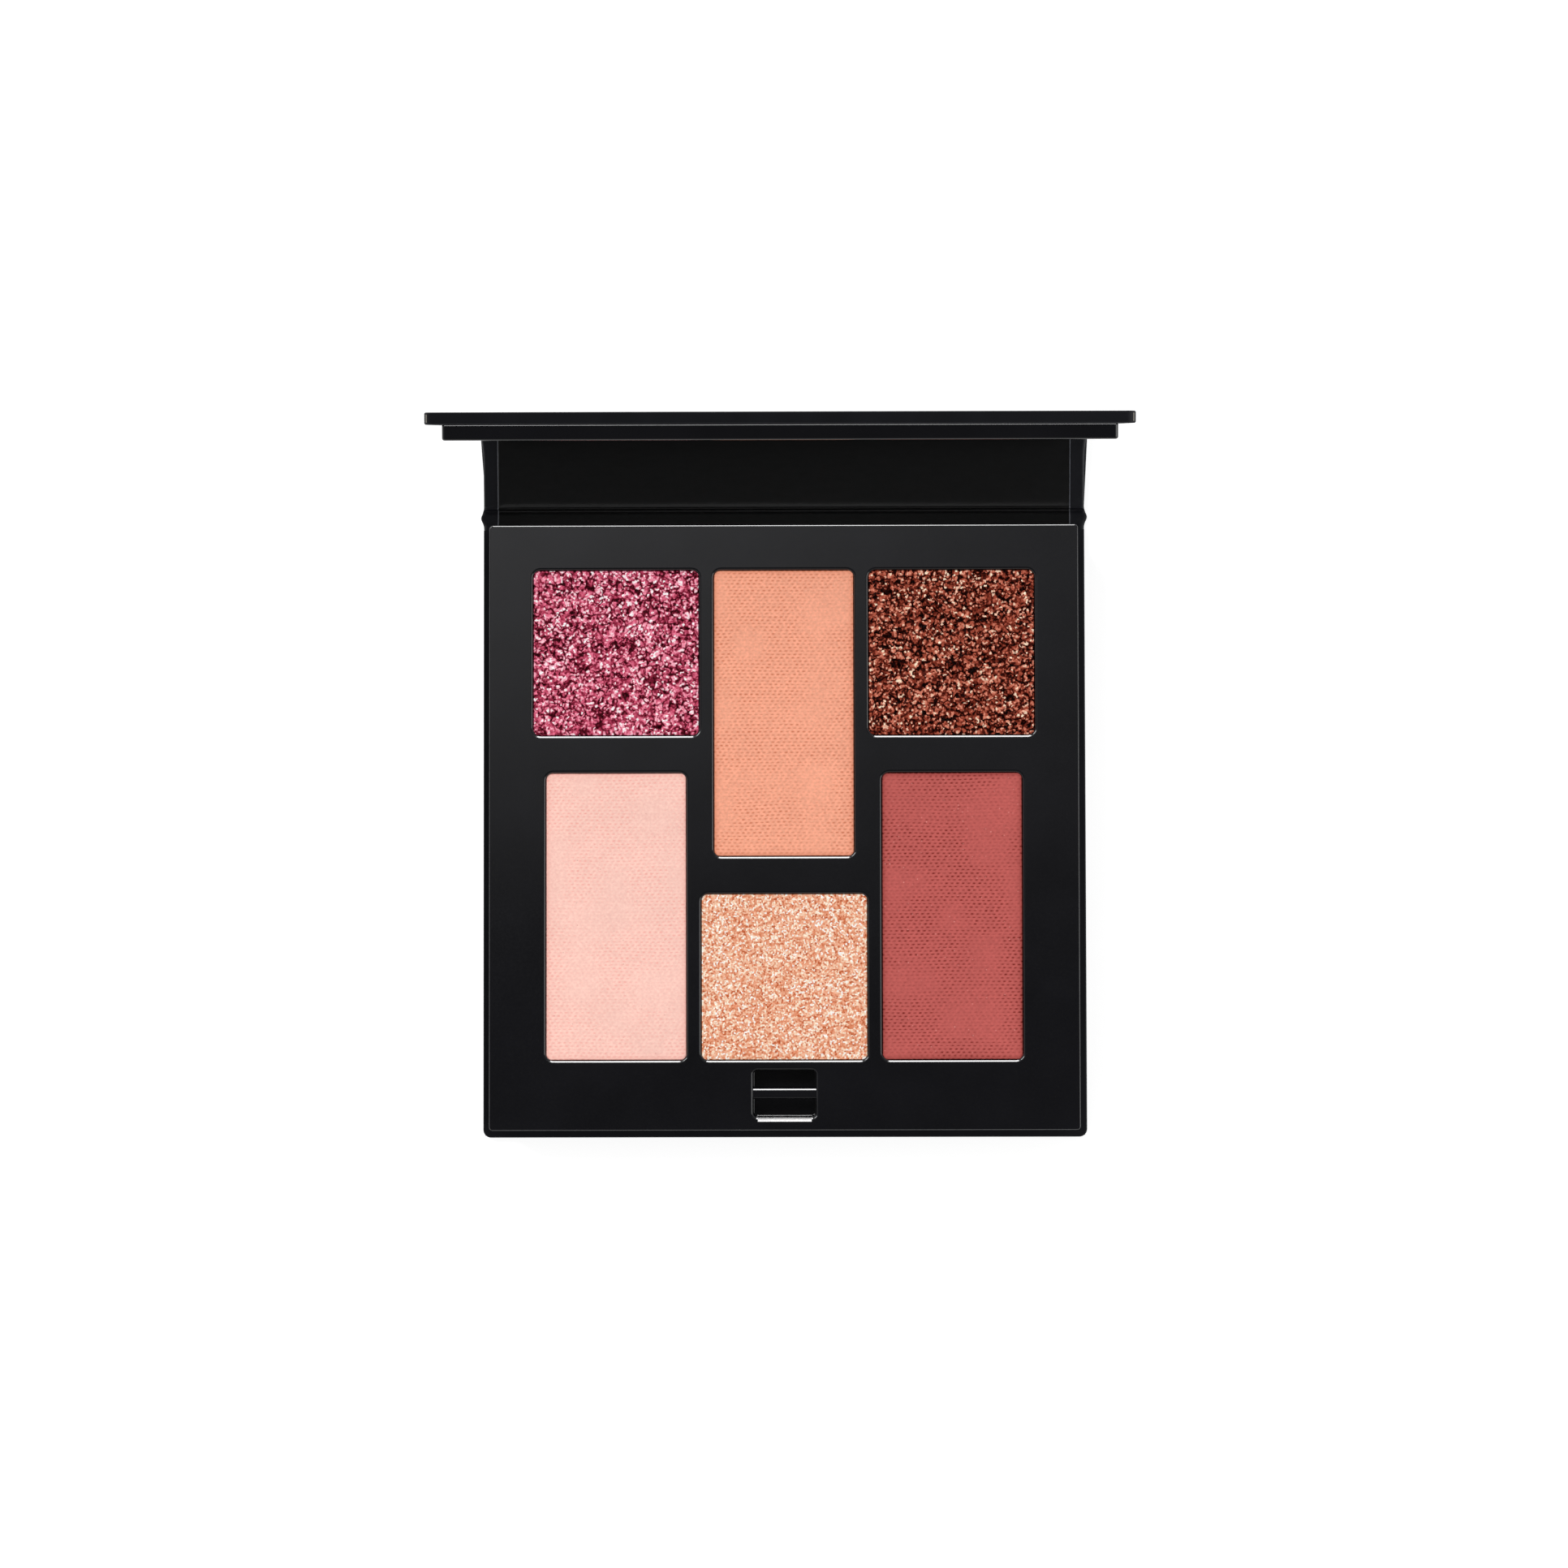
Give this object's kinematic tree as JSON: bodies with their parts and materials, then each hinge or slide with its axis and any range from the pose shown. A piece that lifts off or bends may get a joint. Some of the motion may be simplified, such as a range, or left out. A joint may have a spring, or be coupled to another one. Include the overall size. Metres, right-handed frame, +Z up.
{
  "type": "eyeshadow palette",
  "caption": "Book-style black palette: wrapped board cover with folding spine and mirrored lid over a glossy tray of pressed powder pans.",
  "frame": {"origin": "centre of the base panel's flat underside", "axes": "+Z up out of the tray, +Y back towards the spine and lid, -Y the front with the latch, +X to the right"},
  "size_m": [0.08, 0.0959, 0.0834],
  "materials": {
    "greyboard": "matte",
    "soft_wrap": "satin",
    "liner_paper": "satin",
    "gloss_black": "gloss",
    "pan_metal": "satin",
    "adhesive": "matte",
    "mirror": "polished",
    "pink_glitter": "satin",
    "orange_matte": "matte",
    "brown_glitter": "satin",
    "pale_pink_matte": "matte",
    "champagne_shimmer": "satin",
    "red_matte": "matte"
  },
  "bodies": {
    "base": {"base_board": "greyboard", "base_wrap": "soft_wrap", "base_crease": "soft_wrap", "tray_adhesive": "adhesive", "tray": "gloss_black", "pan_adhesive": "adhesive", "pan_back_left": "pan_metal", "pan_back_centre": "pan_metal", "pan_back_right": "pan_metal", "pan_front_left": "pan_metal", "pan_front_centre": "pan_metal", "pan_front_right": "pan_metal", "powder_pink_glitter": "pink_glitter", "powder_orange": "orange_matte", "powder_brown_glitter": "brown_glitter", "powder_pale_pink": "pale_pink_matte", "powder_champagne": "champagne_shimmer", "powder_red": "red_matte"},
    "spine": {"spine_board": "greyboard", "spine_wrap": "soft_wrap", "spine_liner": "liner_paper", "lid_crease": "soft_wrap"},
    "lid": {"lid_board": "greyboard", "lid_wrap": "soft_wrap", "lid_adhesive": "adhesive", "mirror_frame": "gloss_black", "mirror_adhesive": "adhesive", "mirror_glass": "mirror"}
  },
  "joints": [
    {"name": "spine_fold", "type": "hinge", "parent": "base", "child": "spine", "pos_m": [0, 0.0419, 0.00013], "axis": [1, 0, 0], "range_deg": [-7.25, 82.75], "deforming": ["base_crease"]},
    {"name": "lid_fold", "type": "hinge", "parent": "spine", "child": "lid", "pos_m": [0, 0.05542, 0.00185], "axis": [1, 0, 0], "range_deg": [-90, 0], "deforming": ["lid_crease"]}
  ]
}
